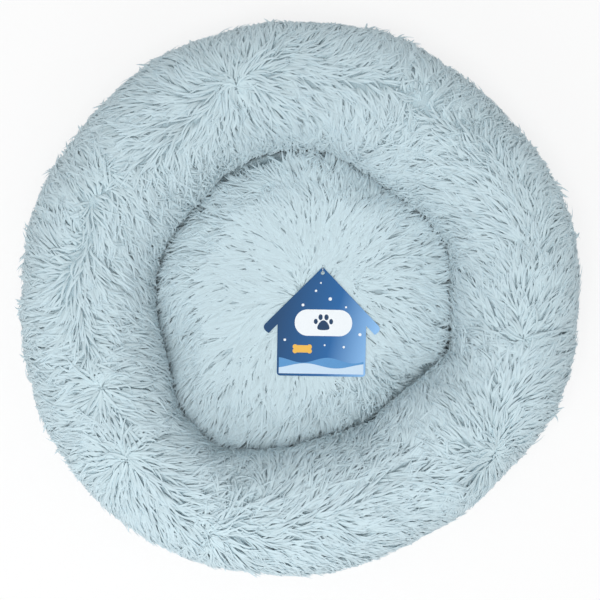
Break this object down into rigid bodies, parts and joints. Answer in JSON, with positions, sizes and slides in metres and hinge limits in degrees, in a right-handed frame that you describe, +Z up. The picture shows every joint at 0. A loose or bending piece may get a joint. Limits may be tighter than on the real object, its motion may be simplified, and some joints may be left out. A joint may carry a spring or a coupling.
{
  "type": "donut pet bed",
  "caption": "Round long-pile pet bed: a raised stuffed ring sewn round a crowned cushion, with an anti-slip base, a zip and a card hang tag.",
  "frame": {"origin": "on the floor, under the middle of the bed's outline", "axes": "+Z up out of the sleeping hollow, +X to the right and +Y away in the picture's straight-down view, so the hang tag hangs towards -Y"},
  "size_m": [0.7018, 0.6942, 0.1681],
  "materials": {
    "long_pile": "pale ice blue polyester long pile, combed into whorls",
    "stuffing": "white hollow-fibre stuffing",
    "non_woven": "white non-woven cloth",
    "seam_tape": "grey woven seam tape",
    "base_cloth": "grey woven polyester with anti-slip dots",
    "woven_label": "white satin tape, blank",
    "zip_cloth": "grey herringbone tape",
    "zip_nylon": "grey nylon coil",
    "zip_metal": "nickel-plated zinc",
    "printed_card": "gloss-laminated printed card",
    "clear_nylon": "clear nylon filament"
  },
  "bodies": {
    "bed": {"bolster_cover": "long_pile", "cushion_cover": "long_pile", "bolster_filling": "stuffing", "cushion_filling": "stuffing", "inner_wall": "non_woven", "crevice_tape": "seam_tape", "base_front": "base_cloth", "base_rear": "base_cloth", "base_binding": "seam_tape", "care_label": "woven_label", "zip_tape_front": "zip_cloth", "zip_tape_rear": "zip_cloth", "zip_coil_front": "zip_nylon", "zip_coil_rear": "zip_nylon", "zip_top_stop": "zip_metal", "zip_bottom_stop": "zip_metal"},
    "slider": {"zip_slider": "zip_metal"},
    "pull": {"zip_pull": "zip_metal"},
    "loop": {"tag_loop": "clear_nylon"},
    "card": {"tag_card": "printed_card"}
  },
  "joints": [
    {"name": "zip_slide", "type": "slide", "parent": "bed", "child": "slider", "axis": [-1, 0, 0], "range_m": [0, 0.238]},
    {"name": "pull_swing", "type": "hinge", "parent": "slider", "child": "pull", "pos_m": [0.1191, 0, 0.0063], "axis": [0, 1, 0], "range_deg": [-166, 12]},
    {"name": "tag_swivel", "type": "hinge", "parent": "bed", "child": "loop", "pos_m": [0.02795, 0.03665, 0.076], "axis": [0, 0, 1], "range_deg": [-75, 75]},
    {"name": "tag_lift", "type": "hinge", "parent": "loop", "child": "card", "pos_m": [0.02795, 0.03665, 0.076], "axis": [-0.9998, 0.0174, 0], "range_deg": [0, 150]}
  ]
}
